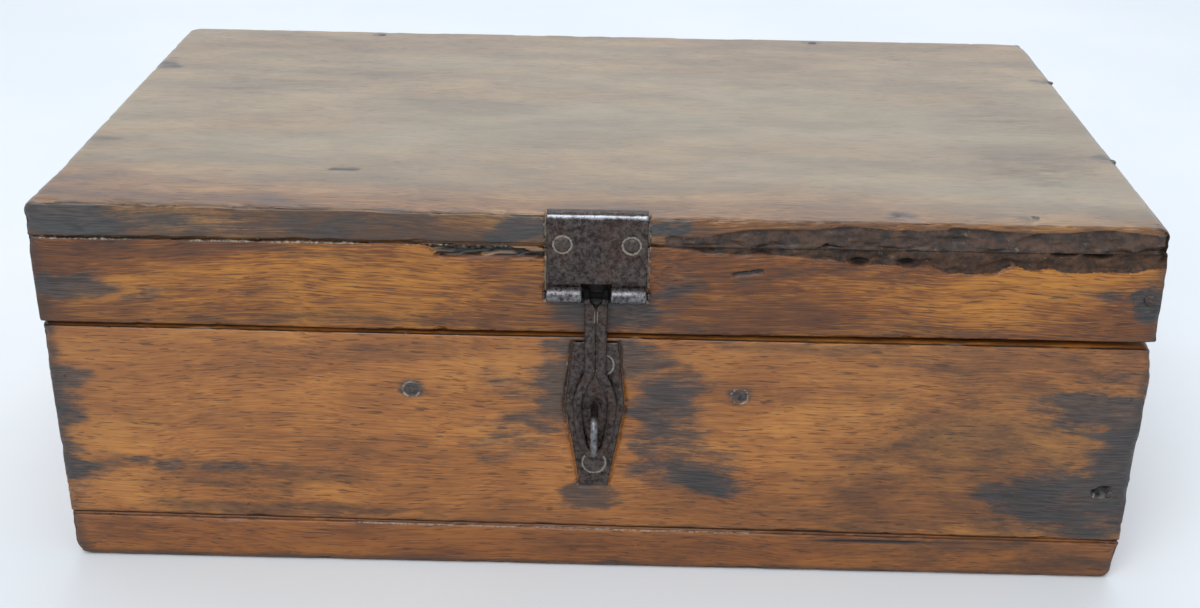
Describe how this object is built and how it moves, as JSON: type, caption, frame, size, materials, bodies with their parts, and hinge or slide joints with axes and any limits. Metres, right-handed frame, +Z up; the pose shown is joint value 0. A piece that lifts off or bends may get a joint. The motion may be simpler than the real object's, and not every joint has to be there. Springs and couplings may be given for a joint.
{
  "type": "spice box",
  "caption": "Low wooden spice box of nailed boards with a deep hinged lid, a forged iron hasp and staple, and an inside divided by two cross boards.",
  "frame": {"origin": "middle of the flat face that the box stands on", "axes": "+X along the front to the viewer's right, +Y from the front to the hinged back, +Z up"},
  "size_m": [0.2928, 0.1787, 0.1074],
  "materials": {
    "lid_wood": "satin",
    "body_wood": "satin",
    "bottom_wood": "satin",
    "inner_wood": "matte",
    "wrought_iron": "satin",
    "iron_nail": "matte"
  },
  "bodies": {
    "box": {"bottom_board": "bottom_wood", "front_board": "body_wood", "back_board": "body_wood", "left_board": "body_wood", "right_board": "body_wood", "left_divider": "inner_wood", "right_divider": "inner_wood", "wall_corner_nails": "iron_nail", "bottom_nails": "iron_nail", "divider_nails": "iron_nail", "staple_plate": "wrought_iron", "staple_plate_nails": "iron_nail", "staple": "wrought_iron", "left_hinge_box_leaf": "wrought_iron", "left_hinge_box_nails": "iron_nail", "right_hinge_box_leaf": "wrought_iron", "right_hinge_box_nails": "iron_nail"},
    "lid": {"lid_top_board": "lid_wood", "lid_front_rail": "body_wood", "lid_back_rail": "body_wood", "lid_left_rail": "body_wood", "lid_right_rail": "body_wood", "lid_corner_nails": "iron_nail", "lid_board_nails": "iron_nail", "hasp_leaf": "wrought_iron", "hasp_leaf_nails": "iron_nail", "hasp_pin": "wrought_iron", "left_hinge_lid_leaf": "wrought_iron", "left_hinge_pin": "wrought_iron", "left_hinge_lid_nails": "iron_nail", "right_hinge_lid_leaf": "wrought_iron", "right_hinge_pin": "wrought_iron", "right_hinge_lid_nails": "iron_nail"},
    "hasp": {"hasp_arm": "wrought_iron"}
  },
  "joints": [
    {"name": "lid_hinge", "type": "hinge", "parent": "box", "child": "lid", "pos_m": [0, 0.0841, 0.0728], "axis": [-1, 0, 0], "range_deg": [0, 180]},
    {"name": "hasp_swing", "type": "hinge", "parent": "lid", "child": "hasp", "pos_m": [0, -0.0841, 0.0852], "axis": [-1, 0, 0], "range_deg": [0, 170]}
  ]
}
